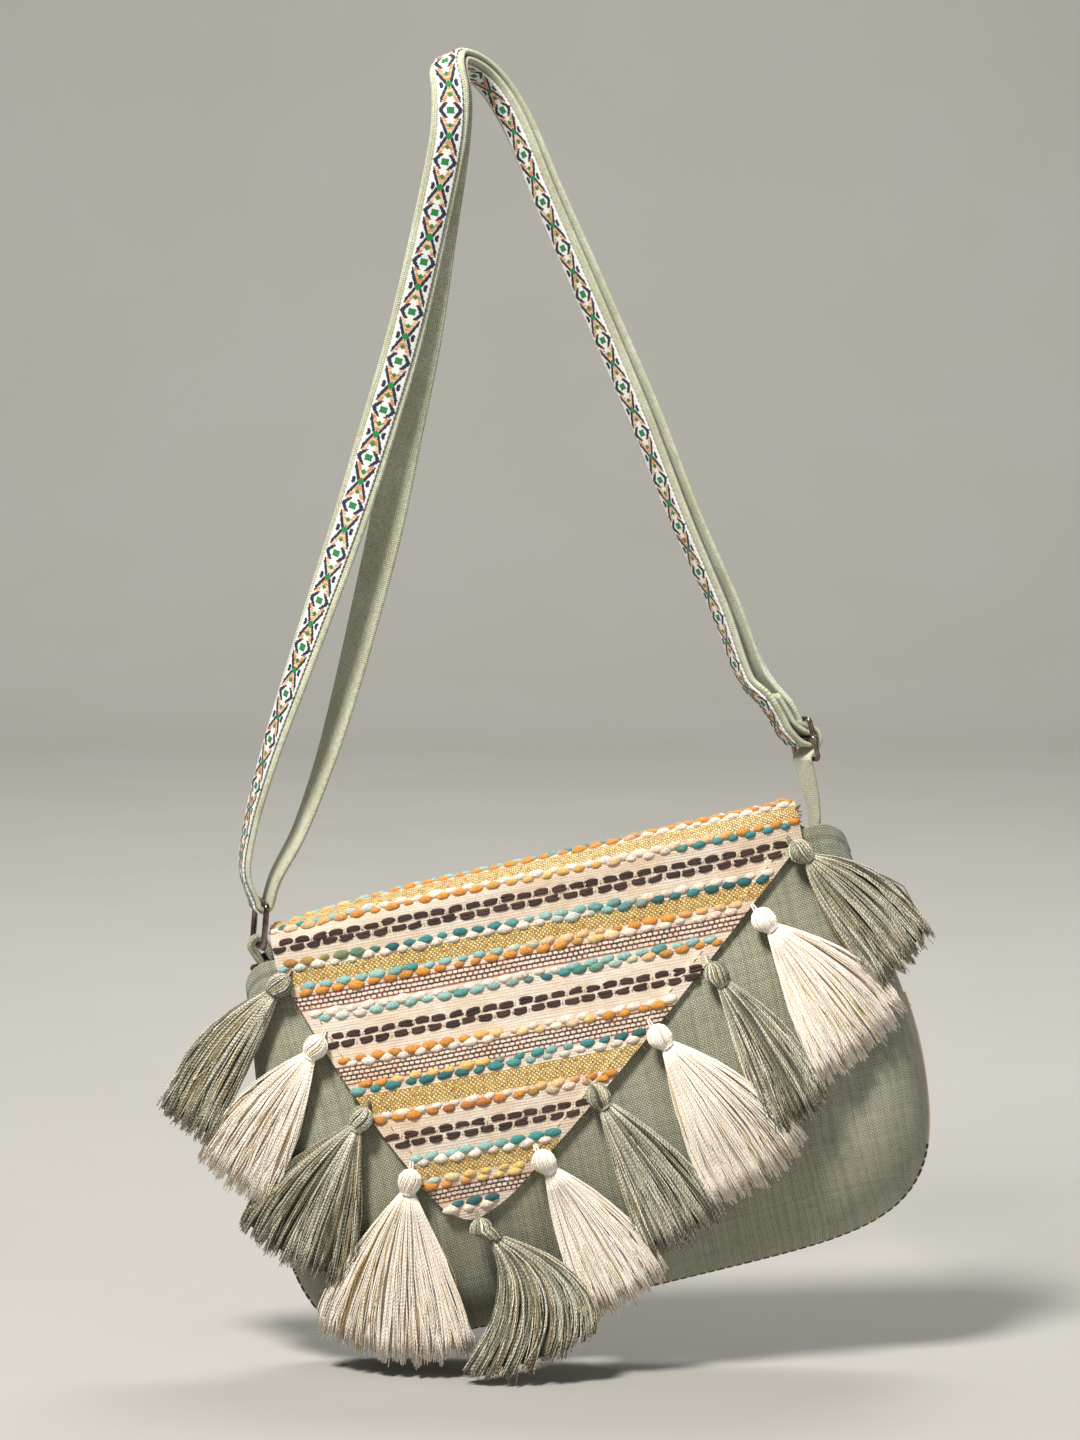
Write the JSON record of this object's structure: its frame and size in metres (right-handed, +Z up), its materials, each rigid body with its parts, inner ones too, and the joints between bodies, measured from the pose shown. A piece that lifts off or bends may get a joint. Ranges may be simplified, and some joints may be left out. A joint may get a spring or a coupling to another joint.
{
  "type": "cotton sling bag",
  "caption": "Soft cotton sling bag with a pointed striped flap edged with thread tassels, hanging by a doubled, ribbon-trimmed strap with a wire ring and a slider.",
  "frame": {"origin": "the point that the strap hangs from, under the top of its bend", "axes": "+Z up, +X to the right of someone looking at the flap, -Y towards them"},
  "size_m": [0.3574, 0.0749, 0.6068],
  "materials": {
    "canvas": "matt plain weave",
    "stripes": "matt slub stripes",
    "ribbon": "woven figures",
    "metal": "dark nickel plate",
    "sage": "cotton thread",
    "cream": "cotton thread"
  },
  "bodies": {
    "root": {"front_panel": "canvas", "back_and_flap": "stripes", "strap": "canvas", "strap_ribbon": "ribbon", "ring_left": "metal", "tab_left": "canvas", "slider_right": "metal", "tassel_01_sage": "sage", "tassel_02_cream": "cream", "tassel_03_sage": "sage", "tassel_04_cream": "cream", "tassel_05_sage": "sage", "tassel_06_cream": "cream", "tassel_07_sage": "sage", "tassel_08_cream": "cream", "tassel_09_sage": "sage", "tassel_10_cream": "cream", "tassel_11_sage": "sage"}
  },
  "joints": []
}
